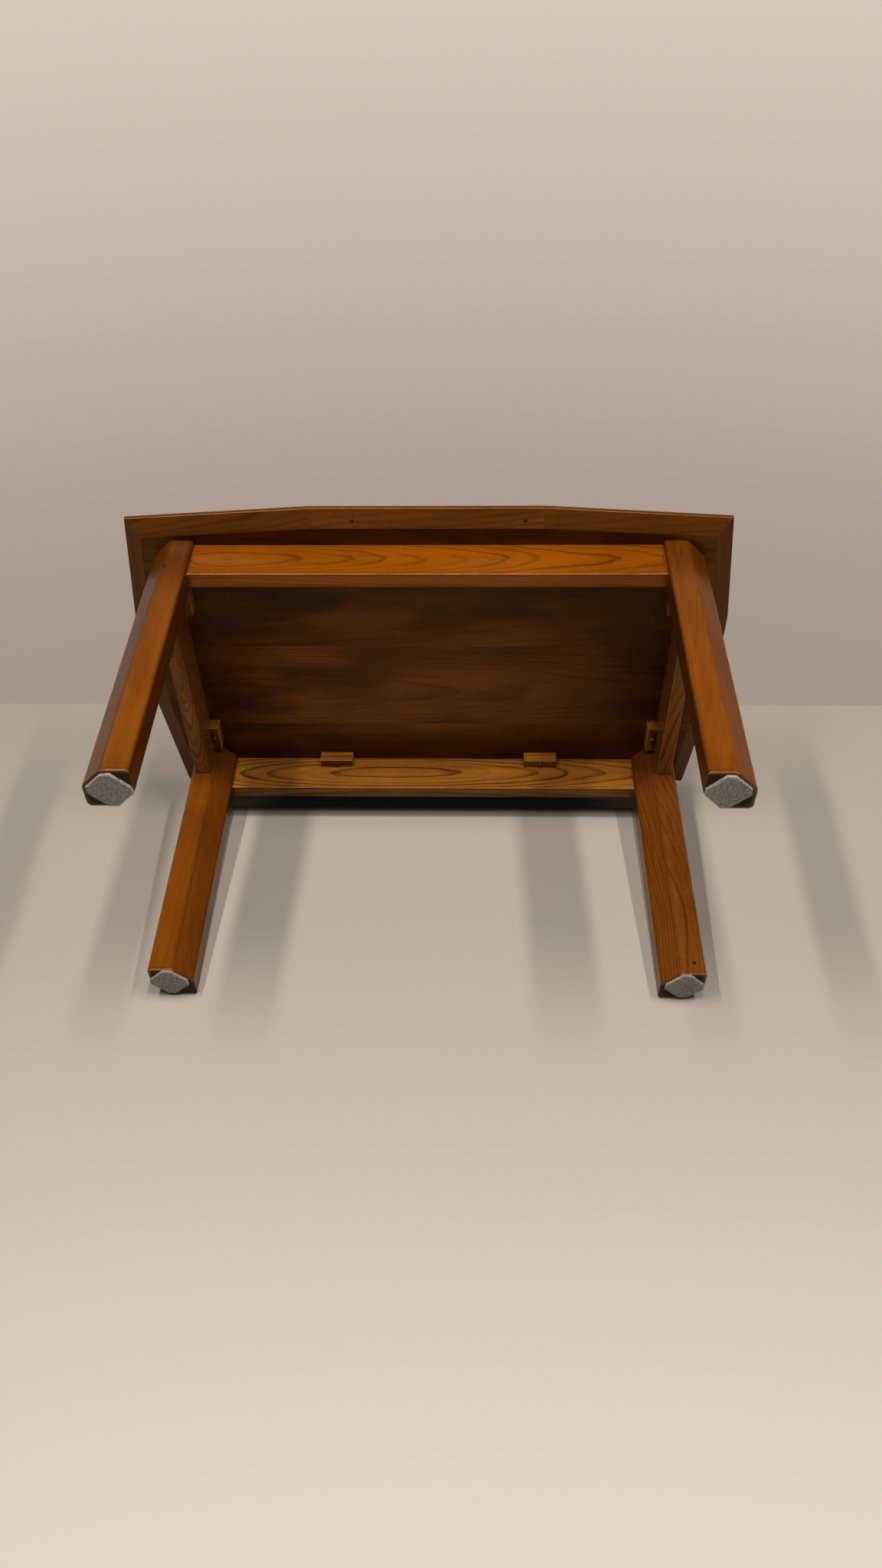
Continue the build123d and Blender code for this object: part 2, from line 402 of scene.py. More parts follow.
stain_dark = timber(
    "underside_stain_and_shade", (0.130, 0.040, 0.004), (0.030, 0.009, 0.001), (0.16, 0.07, 0.025),
    ring=0.0052, lines=0.45, streak=0.55, cloud=0.9, gloss=0.3, shine=0.3, rail_stain_and_shade=0.62,
)
lacquer_top = timber(
    "tabletop_lacquer", (0.22, 0.060, 0.006), (0.07, 0.017, 0.002), (0.33, 0.14, 0.04),
    ring=0.0046, lines=0.7, streak=0.5, gloss=0.23,
)
lacquer_border = timber(
    "border_lacquer", (0.124, 0.0355, 0.002), (0.03, 0.008, 0.001), (0.36, 0.16, 0.07),
    ring=0.0030, lines=0.55, streak=0.55, gloss=0.24, shine=0.4,
    knots=[(0.123, -0.2375, 0.4095), (-0.094, -0.2375, 0.4095)],
)
lacquer_block = timber(
    "block_lacquer", (0.44, 0.165, 0.013), (0.04, 0.012, 0.003), (0.60, 0.36, 0.16),
    ring=0.0042, lines=1.2, streak=0.9, gloss=0.32,
)


# ==== felt and steel ====
THREAD_CELLS = (700.0, 2400.0, 900.0)
CROSSING_CELLS = (2400.0, 700.0, 900.0)
FELT_RELIEF = 0.0011
STEEL_RELIEF = 0.00003


def felt_grey(name):
    """Pressed grey felt: pale and dark fibres, matt and a little hairy, paler along its cut rim."""
    material, tree = new_material(name)
    place = tree.place()
    rim = tree.attribute("rim", "Fac")
    bend = tree.noise(place, 300.0, detail=1.0)
    clumps = tree.noise(place, 330.0, detail=3.0, rough=0.6)
    threads = tree.noise(tree.stretched(place, THREAD_CELLS), detail=2.0)
    crossing = tree.noise(tree.stretched(place, CROSSING_CELLS), detail=2.0)
    soil = tree.noise(place, 70.0, detail=3.0)
    light = 2.4 * (clumps - 0.5) + 0.8 * (threads - 0.5) + 0.8 * (crossing - 0.5) + 0.45
    light = (light + 0.22 * rim).held()
    colour = tree.mix(light, rgb(0.155, 0.136, 0.116), rgb(0.50, 0.45, 0.395))
    colour = tree.mix(0.35 * soil.rise(0.5, 0.8), colour, rgb(0.15, 0.13, 0.11))
    tree.finish({
        "Base Color": colour,
        "Roughness": 0.95 - 0.1 * threads,
        "Normal": tree.bump(clumps + 0.4 * threads + 0.4 * crossing + 0.3 * bend, FELT_RELIEF),
        "Sheen Weight": 0.25,
        "Sheen Roughness": 0.5,
        "Specular IOR Level": 0.2,
    })
    return material


def screw_steel(name):
    """Dull zinc-plated steel with darker blotches."""
    material, tree = new_material(name)
    place = tree.place()
    stain = tree.noise(place, 420.0, detail=3.0, rough=0.6)
    scuffs = tree.noise(place, 2200.0, detail=2.0)
    colour = tree.mix(stain.rise(0.4, 0.7), rgb(0.20, 0.135, 0.08), rgb(0.06, 0.035, 0.02))
    tree.finish({
        "Base Color": colour,
        "Metallic": 1.0,
        "Roughness": (0.38 + 0.3 * stain + 0.1 * (scuffs - 0.5)).held(),
        "Normal": tree.bump(scuffs, STEEL_RELIEF),
    })
    return material


felt = felt_grey("felt")
steel = screw_steel("screw_steel")


# ==== timber shapes ====
def unstained(*_):
    return 0.0


def crown_wear_and_highlight(angle):
    """How worn an eased edge is, with its painted highlight: most at its crown, where angle is a
    quarter turn.
    """
    return 0.4 + 0.6 * math.sin(angle)


def eased_outline(corners, radii, steps=3, shoulder=SHOULDER, rubbed_and_highlit=1.0, stain=unstained):
    """The closed outline of a section, counter-clockwise, with each corner an arc.

    Each point is (u, v, edge wear with its painted highlight, stain). A tight arc is worn and
    painted with a highlight on its crown, as heavily as its rubbing share says, and stain gives the
    last value, stain with any painted shade, for a point (u, v).
    """
    outline = []
    count = len(corners)
    for index, corner in enumerate(corners):
        here = Vector(corner)
        back = Vector(corners[index - 1]) - here
        ahead = Vector(corners[(index + 1) % count]) - here
        half_angle = back.angle(ahead) / 2
        radius = radii[index]
        tangent = radius / math.tan(half_angle)
        bisector = (back.normalized() + ahead.normalized()).normalized()
        centre = here + bisector * (radius / math.sin(half_angle))
        reach_back = min(tangent + shoulder, 0.4 * back.length)
        reach_ahead = min(tangent + shoulder, 0.4 * ahead.length)
        spoke = here + back.normalized() * tangent - centre
        turn = math.pi - 2 * half_angle
        outline.append((*(here + back.normalized() * reach_back), 0.0))
        for step in range(steps + 1):
            share = step / steps
            point = centre + Matrix.Rotation(turn * share, 2) @ spoke
            wear = 0.0 if radius > WIDE_ARC else rubbed_and_highlit * crown_wear_and_highlight(math.pi * share)
            outline.append((*point, wear))
        outline.append((*(here + ahead.normalized() * reach_ahead), 0.0))
    return [(u, v, wear, stain(u, v)) for u, v, wear in outline]


def bar_stations(length, rounding, shoulder=SHOULDER, steps=3, rubbed_and_highlit=1.0, stain=unstained):
    """Rings along a bar with rounded ends, each (place along, inset, edge wear with its painted
    highlight, stain).

    stain gives the last value, stain with any painted shade, for a place along the bar.
    """
    start = []
    for step in range(steps + 1):
        angle = math.pi / 2 * (1 - step / steps)
        along, inset = rounding * (1 - math.sin(angle)), rounding * (1 - math.cos(angle))
        start.append((along, inset, rubbed_and_highlit * crown_wear_and_highlight(2 * angle)))
    start.append((rounding + shoulder, 0.0, 0.0))
    inner = length - 2 * (rounding + shoulder)
    spans = max(1, round(inner / STATION))
    middle = [(rounding + shoulder + inner * k / spans, 0.0, 0.0) for k in range(1, spans)]
    end = [(length - t, *rest) for t, *rest in reversed(start)]
    return [(t, inset, wear, stain(t)) for t, inset, wear in start + middle + end]


def finished_mesh(name, mesh):
    """The smooth mesh data of a closed bmesh, with its faces turned outwards."""
    for face in mesh.faces:
        face.smooth = True
    if mesh.calc_volume(signed=True) < 0:
        bmesh.ops.reverse_faces(mesh, faces=mesh.faces)
    data = bpy.data.meshes.new(name)
    mesh.to_mesh(data)
    mesh.free()
    return data


def bar_mesh(name, section, stations, place, shoulder=SHOULDER, end_stain=1.0):
    """A bar whose section stands at each station. place(u, v, t) gives a point of the row frame."""
    us, vs = [p[0] for p in section], [p[1] for p in section]
    centre = ((min(us) + max(us)) / 2, (min(vs) + max(vs)) / 2)
    half = ((max(us) - min(us)) / 2, (max(vs) - min(vs)) / 2)

    def inset_point(u, v, inset):
        return (
            centre[0] + (u - centre[0]) * (1 - inset / half[0]),
            centre[1] + (v - centre[1]) * (1 - inset / half[1]),
        )

    cap = min(shoulder, 0.5 * min(half))
    first, last = stations[0], stations[-1]
    bare = [(p[0], p[1], 0.0, 0.0) for p in section]
    rings = [(section, station) for station in stations]
    rings.insert(0, (bare, (first[0], first[1] + cap, 0.0, end_stain)))
    rings.append((bare, (last[0], last[1] + cap, 0.0, end_stain)))
    mesh = bmesh.new()
    wear_and_highlight_layer = mesh.verts.layers.float.new("wear")
    # the stain attribute carries stain and painted shade
    stain_layer = mesh.verts.layers.float.new("stain")
    grid = []
    for outline, (along, inset, ring_wear_and_highlight, ring_stain) in rings:
        ring = []
        for u, v, wear, stain in outline:
            vert = mesh.verts.new(place(*inset_point(u, v, inset), along))
            vert[wear_and_highlight_layer] = max(ring_wear_and_highlight * (1.0 - ring_stain), wear)
            vert[stain_layer] = max(ring_stain, stain)
            ring.append(vert)
        grid.append(ring)
    for lower, upper in zip(grid, grid[1:]):
        for k in range(len(section)):
            after = (k + 1) % len(section)
            mesh.faces.new((lower[k], lower[after], upper[after], upper[k]))
    mesh.faces.new(list(reversed(grid[0])))
    mesh.faces.new(grid[-1])
    return finished_mesh(name, mesh)


def straight(origin, u_axis, v_axis, w_axis):
    """The place function of a straight bar that starts at origin."""
    return lambda u, v, t: origin + u_axis * u + v_axis * v + w_axis * t


def rectangle(half_wide, half_high):
    """The corners of a rectangle about the middle, counter-clockwise."""
    return [
        (half_wide, half_high), (-half_wide, half_high),
        (-half_wide, -half_high), (half_wide, -half_high),
    ]


def add_grain(data, origin, along, deep, log):
    """Stores where each vertex lay in the log.

    log is the piece's (along, across, deep) from the pith, and by how much its length is stretched
    before the rings are worked out along it.
    """
    across = Vector(deep).cross(Vector(along))
    *start, stretch = log
    axes = (Vector(along) * stretch, across, Vector(deep))
    layer = data.attributes.new("grain", "FLOAT_VECTOR", "POINT")
    values = []
    for vert in data.vertices:
        offset = vert.co - origin
        values += [offset.dot(axis) + begin for axis, begin in zip(axes, start)]
    layer.data.foreach_set("vector", values)


def add_piece(name, data, node, materials):
    """Links a finished mesh as a piece that rides on the table and stands for its CAD node."""
    piece = new_object(name, data)
    for material in materials:
        data.materials.append(material)
    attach(piece, "root")
    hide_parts(node)
    return piece


def add_timber(node, data, along, deep, log, materials):
    """A timber piece with its grain, its normals weighted so that flat faces stay flat."""
    low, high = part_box(node)
    add_grain(data, (low + high) / 2, along, deep, log)
    piece = add_piece(f"{node}_timber", data, node, materials)
    weighted = piece.modifiers.new("flat_faces", "WEIGHTED_NORMAL")
    weighted.weight = 100


# ==== legs ====
LEG_SIDES = {
    "front_left": (-1, -1), "front_right": (1, -1), "back_left": (-1, 1), "back_right": (1, 1),
}
LEG_LOOKS = {              # log, finish of the sides, stain of the outer chamfer and all over
    "front_left": ((0.30, 0.075, 0.050, 1.0), lacquer_leg, 0.5, 0.0),
    "front_right": ((0.95, 0.060, 0.085, 1.0), lacquer_leg, 0.0, 0.05),
    "back_left": ((1.60, 0.085, 0.030, 1.0), lacquer_leg, 0.2, 0.0),
    "back_right": ((-0.10, 0.020, 0.034, 1.0), lacquer_figured, 0.2, 0.0),
}
INNER_CHAMFER_STAIN = 0.2
INNER_FACE_STAIN_AND_SHADE = 0.8     # stain and painted shade on the corners that turn in towards the rails
# stain and painted shade on a leg's head, under the top
HEAD_STAIN_AND_SHADE = 0.55
JOINT_STAIN = 0.9
BACK_FOOT_WEAR_AND_HIGHLIGHT = 0.4       # a foot's rim is less worn, with less painted highlight, away from its front face


def held(value):
    """A number kept between 0 and 1."""
    return min(1.0, max(0.0, value))


def leg_face_stain_and_shade(u, v, half, chamfer_stain):
    """How heavy the stain is on a leg's section, with painted shade on its inner corner: u and v
    grow towards the table's outside.
    """
    if u + v > 2 * half - OUTER_CHAMFER - SLACK:
        return chamfer_stain
    if u + v < INNER_CHAMFER + SLACK - 2 * half:
        return INNER_CHAMFER_STAIN
    return INNER_FACE_STAIN_AND_SHADE * held((-u - half + LEG_CORNER) / LEG_CORNER) ** 2


def leg_height_stain_and_shade(t, length):
    """How dark a leg is at a height: stain and painted shade heavier under the top, and stain
    heaviest in the joint.
    """
    if t > length - FINE_ARRIS:
        return JOINT_STAIN
    return HEAD_STAIN_AND_SHADE * held((t - HEAD_STAIN_AND_SHADE_START) / HEAD_STAIN_AND_SHADE_RUN)


def make_leg(name):
    """A leg with its outer and its inner corner cut back."""
    side_x, side_y = LEG_SIDES[name]
    low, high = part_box(f"leg_{name}")
    half = (high.x - low.x) / 2
    length = high.z - low.z
    log, lacquer, chamfer_stain, all_over = LEG_LOOKS[name]

    def face_stain_and_shade(u, v):
        return leg_face_stain_and_shade(u, v, half, chamfer_stain)

    def height_stain_and_shade(t):
        return max(all_over, leg_height_stain_and_shade(t, length))

    corners = [
        (half - OUTER_CHAMFER, half), (-half, half), (-half, -half + INNER_CHAMFER),
        (-half + INNER_CHAMFER, -half), (half, -half), (half, half - OUTER_CHAMFER),
    ]
    radii = [OUTER_ARC, LEG_CORNER, INNER_ARC, INNER_ARC, LEG_CORNER, OUTER_ARC]
    section = eased_outline(corners, radii, steps=6, rubbed_and_highlit=0.5, stain=face_stain_and_shade)
    foot = bar_stations(length, FOOT_ROUND, steps=4, stain=height_stain_and_shade)
    head = bar_stations(length, FINE_ARRIS, stain=height_stain_and_shade)
    stations = [s for s in foot if s[0] < length / 2] + [s for s in head if s[0] > length / 2]
    axis = Vector(((low.x + high.x) / 2, (low.y + high.y) / 2, low.z))
    data = bar_mesh(name, section, stations, straight(axis, X * side_x, Y * side_y, Z))
    wear = data.attributes["wear"].data
    for vert in data.vertices:
        if vert.co.z < low.z + FOOT_ROUND * 1.1 and vert.co.y > low.y + 2 * FOOT_ROUND:
            wear[vert.index].value *= BACK_FOOT_WEAR_AND_HIGHLIGHT
    add_timber(f"leg_{name}", data, -Z, -Y, log, [lacquer, foot_end_grain])
    for polygon in data.polygons:
        if polygon.center.z < low.z + FOOT_ROUND / 8:
            polygon.material_index = 1


# ==== rails and blocks ====
FIXINGS = {                # the way each rail runs, and the ends that its blocks are near
    "front": (X, ("left", "right")),
    "back": (X, ("left", "right")),
    "left": (Y, ("front", "back")),
    "right": (Y, ("front", "back")),
}
# undersides darker: stain and painted shade
BLOCK_UNDERSIDE_STAIN_AND_SHADE = 0.75
BLOCK_END_STAIN = 0.15


def make_block(node, along, log):
    """A fixing block: a short bar along X or Y that fills its CAD node's box."""
    low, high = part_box(node)
    size = high - low
    length, width = (size.x, size.y) if along == X else (size.y, size.x)

    # the underside darker: stain and painted shade
    def underside_stain_and_shade(_, v):
        return BLOCK_UNDERSIDE_STAIN_AND_SHADE if v < FINE_ARRIS - size.z / 2 else 0.0

    section = eased_outline(rectangle(width / 2, size.z / 2), [BLOCK_ARRIS] * 4,
                            shoulder=BLOCK_SHOULDER, stain=underside_stain_and_shade)
    stations = bar_stations(length, BLOCK_ARRIS, shoulder=BLOCK_SHOULDER)
    start = (low + high) / 2 - along * (length / 2)
    data = bar_mesh(node, section, stations, straight(start, Z.cross(along), Z, along),
                    shoulder=BLOCK_SHOULDER, end_stain=BLOCK_END_STAIN)
    add_timber(node, data, along, -Z, log, [lacquer_block])


def make_rail(node, along, deep, log, lacquer, underside_stain_and_shade=0.0, rubbed_and_highlit=1.0):
    """A rail between two legs: the bar without the tenons that its CAD node has."""
    low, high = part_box(node)
    half_gap, thick = (HALF_GAP_X, high.y - low.y) if along == X else (HALF_GAP_Y, high.x - low.x)
    half_high = (high.z - low.z) / 2

    # the underside darker: stain and painted shade
    def stain(_, v):
        return underside_stain_and_shade if v < FINE_ARRIS - half_high else 0.0

    section = eased_outline(rectangle(thick / 2, half_high), [ARRIS] * 4,
                            rubbed_and_highlit=rubbed_and_highlit, stain=stain)
    stations = bar_stations(2 * half_gap, FINE_ARRIS)
    start = (low + high) / 2 - along * half_gap
    data = bar_mesh(node, section, stations, straight(start, Z.cross(along), Z, along))
    add_timber(node, data, along, deep, log, [lacquer])


# ==== tabletop ====
def top_outline():
    """Corner points of the top, counter-clockwise from the right-hand end of the front side."""
    corner_x = HALF_LENGTH - SHORT_BULGE
    corner_y = HALF_WIDTH - LONG_BULGE
    half_turn = [
        (corner_x, -corner_y), (HALF_LENGTH, -SHORT_MIDDLE / 2), (HALF_LENGTH, SHORT_MIDDLE / 2),
        (corner_x, corner_y), (LONG_MIDDLE / 2, HALF_WIDTH), (-LONG_MIDDLE / 2, HALF_WIDTH),
    ]
    return [Vector(p) for p in half_turn] + [-Vector(p) for p in half_turn]


def inset_outline(points, insets):
    """The outline whose sides are each moved inward by their own inset."""
    inner = []
    count = len(points)
    for index, here in enumerate(points):
        before = (here - points[index - 1]).normalized()
        after = (points[(index + 1) % count] - here).normalized()
        normal_before = Vector((-before.y, before.x))
        normal_after = Vector((-after.y, after.x))
        system = Matrix((normal_before, normal_after))
        shift = system.inverted() @ Vector((insets[index - 1], insets[index]))
        inner.append(here + shift)
    return inner


OUTLINE = top_outline()
INNER_OUTLINE = inset_outline(OUTLINE, ([SHORT_BORDER] * 3 + [LONG_BORDER] * 3) * 2)
BORDER_NAMES = [
    "right_front", "right_middle", "right_back", "back_right", "back_middle", "back_left",
    "left_back", "left_middle", "left_front", "front_left", "front_middle", "front_right",
]
BORDER_SEED = 40
JOINT_BAND = 0.001         # how far the stain in the joint with the boards reaches
BORDER_JOINT_STAIN = 0.8
# painted shade on the strips of the short sides
SHORT_SIDE_SHADE = 0.28
LONG_SIDE_SHADE = 0.12     # painted shade on the outer strips of a long side, near the legs, whose middle one has none
BOARD_LOGS = [             # along, across and deep from the pith, and stretch along
    (0.5, 0.03, 0.06, 0.8),
    (1.1, -0.02, 0.045, 0.8),
    (0.25, 0.01, 0.035, 0.8),
    (1.7, -0.05, 0.05, 0.8),
]


def make_border(index, name):
    """A border strip between its two mitres, bevelled from below towards the thin edge."""
    after = (index + 1) % len(OUTLINE)
    outer_a, outer_b = OUTLINE[index], OUTLINE[after]
    inner_a, inner_b = INNER_OUTLINE[index], INNER_OUTLINE[after]
    on_short_side = index % 6 < 3
    in_middle = index % 3 == 1
    width = SHORT_BORDER if on_short_side else LONG_BORDER
    all_over = SHORT_SIDE_SHADE if on_short_side else 0.0 if in_middle else LONG_SIDE_SHADE

    # a dark joint next to the boards, and elsewhere the strip's painted shade
    def stain(u, _):
        return BORDER_JOINT_STAIN if u > width - JOINT_BAND else all_over

    def place(u, v, t):
        start = outer_a.lerp(inner_a, u / width)
        end = outer_b.lerp(inner_b, u / width)
        point = start.lerp(end, t)
        return Vector((point.x, point.y, TOP_LOW + v))

    thick = TOP_HIGH - TOP_LOW
    corners = [(0, thick - EDGE_THICKNESS), (width + LAP, 0), (width + LAP, thick), (0, thick)]
    radii = [ARRIS, SEAM_ARRIS, SEAM_ARRIS, ARRIS]
    section = eased_outline(corners, radii, shoulder=BORDER_SHOULDER, stain=stain)
    section = [(u, v, wear if u < width / 2 else 0.0, rest) for u, v, wear, rest in section]
    run = (outer_b - outer_a).length
    stations = bar_stations(run, FINE_ARRIS, shoulder=SEAM_SHOULDER, rubbed_and_highlit=0.0)
    stations = [(t / run, *rest) for t, *rest in stations]
    node = f"border_{name}"
    data = bar_mesh(node, section, stations, place, shoulder=SEAM_SHOULDER)
    along = (outer_b - outer_a).normalized().to_3d()
    rng = random.Random(BORDER_SEED + index)
    log = (rng.uniform(0.2, 1.6), rng.uniform(-0.02, 0.02), rng.uniform(0.03, 0.07), 0.7)
    add_timber(node, data, along, -Z, log, [lacquer_border])


def clipped(points, low, high):
    """The part of a convex outline with y between low and high."""
    for limit, keep_above in ((low, True), (high, False)):
        kept = []
        for index, here in enumerate(points):
            before = points[index - 1]
            here_in = here.y >= limit if keep_above else here.y <= limit
            before_in = before.y >= limit if keep_above else before.y <= limit
            if here_in != before_in:
                share = (limit - before.y) / (here.y - before.y)
                kept.append(before.lerp(here, share))
            if here_in:
                kept.append(here)
        points = kept
    return points


def make_board(node, log):
    """A board of the top, from seam to seam inside the borders."""
    low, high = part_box(node)
    corners = [tuple(p) for p in clipped(INNER_OUTLINE, low.y, high.y)]
    section = eased_outline(corners, [FINE_ARRIS] * len(corners), shoulder=BOARD_SHOULDER)
    stations = bar_stations(high.z - low.z, SEAM_ARRIS, shoulder=SEAM_SHOULDER, rubbed_and_highlit=0.0)
    place = straight(Z * low.z, X, Y, Z)
    data = bar_mesh(node, section, stations, place, shoulder=BOARD_SHOULDER, end_stain=0.0)
    add_timber(node, data, X, -Z, log, [stain_dark, lacquer_top])
    for polygon in data.polygons:
        polygon.material_index = 1 if polygon.center.z > (low.z + high.z) / 2 else 0


# ==== what grows by a rule ====
def group_tree(name, inputs):
    """A geometry node group with a mesh input, the named number inputs and a mesh output."""
    group = bpy.data.node_groups.new(name, "GeometryNodeTree")
    tree = Tree(group)
    group.interface.new_socket("Geometry", in_out="INPUT", socket_type="NodeSocketGeometry")
    for label in inputs:
        kind = "NodeSocketInt" if label == "Seed" else "NodeSocketFloat"
        group.interface.new_socket(label, in_out="INPUT", socket_type=kind)
    group.interface.new_socket("Geometry", in_out="OUTPUT", socket_type="NodeSocketGeometry")
    return tree, tree.add("NodeGroupInput", output="all")


def end_tree(tree, geometry, material):
    """Ends a group in plain geometry of one material."""
    coated = tree.add("GeometryNodeSetMaterial", None, {"Geometry": geometry, "Material": material})
    tree.add("NodeGroupOutput", None, {0: coated})
    return tree


def grown(name, base, tree, values):
    """The plain mesh that a geometry node group makes from a base mesh."""
    seedling = new_object(name, base)
    modifier = seedling.modifiers.new(name, "NODES")
    modifier.node_group = tree.node_tree
    for item in tree.node_tree.interface.items_tree:
        if item.in_out == "INPUT" and item.name in values:
            modifier[item.identifier] = values[item.name]
    graph = bpy.context.evaluated_depsgraph_get()
    data = bpy.data.meshes.new_from_object(seedling.evaluated_get(graph))
    bpy.data.objects.remove(seedling)
    data.name = name
    return data


# ==== screws ====
HEAD_BULGE = 0.6           # the lower, the flatter a head's crown
RECESS_ARMS = ((1.12, 0.24, 1.1), (0.24, 1.12, 1.1))      # of the cross, in head radii
RECESS_DROP = 1.45         # in head heights
SCREW_SIZES = {
    "Head Radius": 0.00375,
    "Head Height": 0.0022,
    "Shank Radius": 0.00175,
    "Shank Length": 0.025,
    "Seed": 3,
}


def screw_tree():
    """Pan head screws that point up, one at each vertex, each turned its own way."""
    tree, (mesh, head_radius, head_height, shank_radius, shank_length, seed, _) = group_tree(
        "pan_head_screws", SCREW_SIZES)
    ball = tree.add("GeometryNodeMeshUVSphere", None, {"Segments": 24, "Rings": 14, "Radius": 1.0})
    x, y, z = tree.split(tree.add("GeometryNodeInputPosition"))
    crown = z.math("POWER", z.math("MAXIMUM", z * -1.0, 0.0), HEAD_BULGE)
    shaped = tree.joined({0: x * head_radius, 1: y * head_radius, 2: crown * head_height * -1.0})
    dome = tree.add("GeometryNodeSetPosition", None, {"Geometry": ball, "Position": shaped})
    arms = []
    drop = tree.joined({2: head_height * -RECESS_DROP})
    for size in RECESS_ARMS:
        arm = tree.add("GeometryNodeMeshCube", None, {"Size": tree.scaled(size, head_radius)})
        arms.append(tree.add("GeometryNodeTransform", None, {"Geometry": arm, "Translation": drop}))
    head = tree.add("GeometryNodeMeshBoolean", {"operation": "DIFFERENCE"}, {
        "Mesh 1": dome, "Mesh 2": arms,
    })
    shank = tree.add("GeometryNodeMeshCylinder", None, {
        "Vertices": 12, "Radius": shank_radius, "Depth": shank_length,
    })
    lift = tree.joined({2: shank_length * 0.5})
    shank = tree.add("GeometryNodeTransform", None, {"Geometry": shank, "Translation": lift})
    screw = tree.add("GeometryNodeJoinGeometry", None, {0: [head, shank]})
    turn = tree.add("FunctionNodeRandomValue", {"data_type": "FLOAT_VECTOR"}, {
        "Min": (0.0, 0.0, 0.0), "Max": (0.0, 0.0, math.pi), "Seed": seed,
    })
    placed = tree.add("GeometryNodeInstanceOnPoints", None, {
        "Points": mesh, "Instance": screw, "Rotation": turn,
    })
    whole = tree.add("GeometryNodeRealizeInstances", None, {0: placed})
    return end_tree(tree, whole, steel)


def make_screws():
    """The eight screws that hold the fixing blocks, standing where the frame has them."""
    points = []
    for rail, (axis, hands) in FIXINGS.items():
        across = 1 if axis == X else 0
        for hand in hands:
            low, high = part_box(f"block_{rail}_rail_{hand}")
            spot = (low + high) / 2
            if rail in ("back", "right"):
                spot[across] = high[across] - SCREW_FROM_RAIL
            else:
                spot[across] = low[across] + SCREW_FROM_RAIL
            points.append((spot.x, spot.y, low.z))
    base = bpy.data.meshes.new("screw_places")
    base.from_pydata(points, [], [])
    data = grown("fixing_screws", base, screw_tree(), SCREW_SIZES)
    add_piece("fixing_screws", data, "block_screws", [])


# ==== felt pads ====
FUZZ_SIZES = {"Density": 450000.0, "Fibre Length": 0.0024, "Fibre Radius": 0.00005}
FIBRE_BEND = {             # the points of a fibre that is 1 long
    "Resolution": 4, "Start": (-0.5, 0.0, 0.0), "Middle": (0.0, 0.35, 0.3), "End": (0.5, -0.1, 0.1),
}
FIBRE_TILT = 0.2           # radians
PAD_SEED = 11
LIFT_CELLS = 160           # cells to the metre of the underside's waves
LIFT = 0.0002
FRAY_CELLS = 500           # and of the ragged outline
FRAY = 0.012


def pad_outline(rng):
    """A square set corner-on with trimmed tips, cut by hand, as points about 2 mm apart."""
    tip = PAD_DIAGONAL * math.sqrt(2) - PAD_REACH
    corners = [
        (PAD_REACH, -tip), (PAD_REACH, tip), (tip, PAD_REACH), (-tip, PAD_REACH),
        (-PAD_REACH, tip), (-PAD_REACH, -tip), (-tip, -PAD_REACH), (tip, -PAD_REACH),
    ]
    corners = [Vector(corner) + Vector((rng.uniform(-1, 1), rng.uniform(-1, 1))) * PAD_CUT
               for corner in corners]
    points = []
    for index, corner in enumerate(corners):
        after = corners[(index + 1) % len(corners)]
        spans = max(2, round((after - corner).length / PAD_SPACING))
        points += [corner.lerp(after, k / spans) for k in range(spans)]
    return points


def fuzz_tree():
    """Short fibres lying every way over a pad's underside and sides."""
    tree, (mesh, density, length, thickness, seed, _) = group_tree(
        "felt_fuzz", [*FUZZ_SIZES, "Seed"])
    normal = tree.split(tree.add("GeometryNodeInputNormal"))
    showing = tree.add("FunctionNodeCompare", {"operation": "LESS_THAN"}, {0: normal[2], 1: 0.5})
    points, lie = tree.add("GeometryNodeDistributePointsOnFaces", None, {
        "Mesh": mesh, "Selection": showing, "Density": density, "Seed": seed,
    }, output="all")[:2]
    hair = tree.add("GeometryNodeCurveQuadraticBezier", None, FIBRE_BEND)
    hair = tree.add("GeometryNodeTransform", None, {
        "Geometry": hair, "Scale": tree.scaled((1.0, 1.0, 1.0), length),
    })
    rim = tree.add("GeometryNodeCurvePrimitiveCircle", None, {"Resolution": 3, "Radius": thickness})
    hair = tree.add("GeometryNodeCurveToMesh", None, {"Curve": hair, "Profile Curve": rim})
    upright = tree.add("FunctionNodeAlignRotationToVector", {"axis": "Z"}, {"Vector": lie})
    spin = tree.add("FunctionNodeRandomValue", {"data_type": "FLOAT_VECTOR"}, {
        "Min": (-FIBRE_TILT, -FIBRE_TILT, 0.0), "Max": (FIBRE_TILT, FIBRE_TILT, 6.28), "Seed": seed,
    })
    spin = tree.add("FunctionNodeEulerToRotation", None, {0: spin})
    settings = {"rotation_space": "LOCAL"}
    turned = tree.add("FunctionNodeRotateRotation", settings, {0: upright, 1: spin})
    size = tree.add("FunctionNodeRandomValue", {"data_type": "FLOAT"}, {
        2: 0.4, 3: 1.2, "Seed": seed,
    }, output=1)
    placed = tree.add("GeometryNodeInstanceOnPoints", None, {
        "Points": points, "Instance": hair, "Rotation": turned, "Scale": size,
    })
    whole = tree.add("GeometryNodeRealizeInstances", None, {0: placed})
    both = tree.add("GeometryNodeJoinGeometry", None, {0: [mesh, whole]})
    return end_tree(tree, both, felt)


